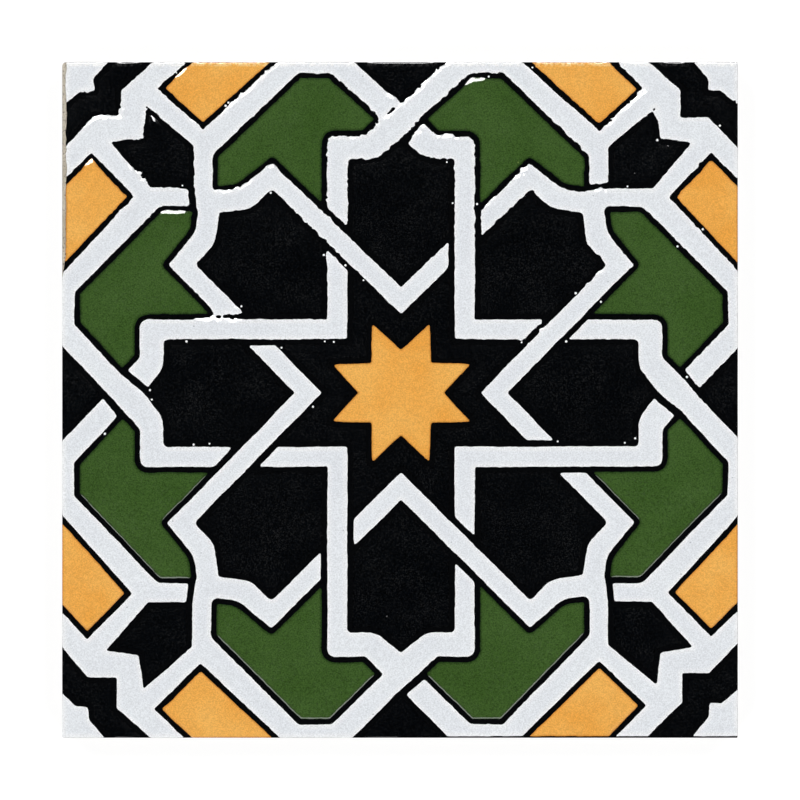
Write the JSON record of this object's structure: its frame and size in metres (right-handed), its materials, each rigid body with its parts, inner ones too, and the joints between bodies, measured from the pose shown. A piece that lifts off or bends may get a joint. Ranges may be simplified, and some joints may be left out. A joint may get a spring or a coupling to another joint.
{
  "type": "star pattern tile",
  "caption": "Square glazed wall tile with an interlaced star of white straps, raised glaze fields between resist lines and a keyed back.",
  "frame": {"origin": "middle of the back face, on the plane the tile lies on", "axes": "+Z out of the glazed face, +Y towards the top edge of the pattern, +X towards its right edge"},
  "size_m": [0.15, 0.15, 0.009],
  "materials": {
    "white_glaze": "gloss",
    "black_glaze": "gloss",
    "green_glaze": "gloss",
    "amber_glaze": "gloss",
    "resist_line": "matte",
    "fired_earthenware": "matte"
  },
  "bodies": {
    "root": {"tile": "white_glaze"}
  },
  "joints": []
}
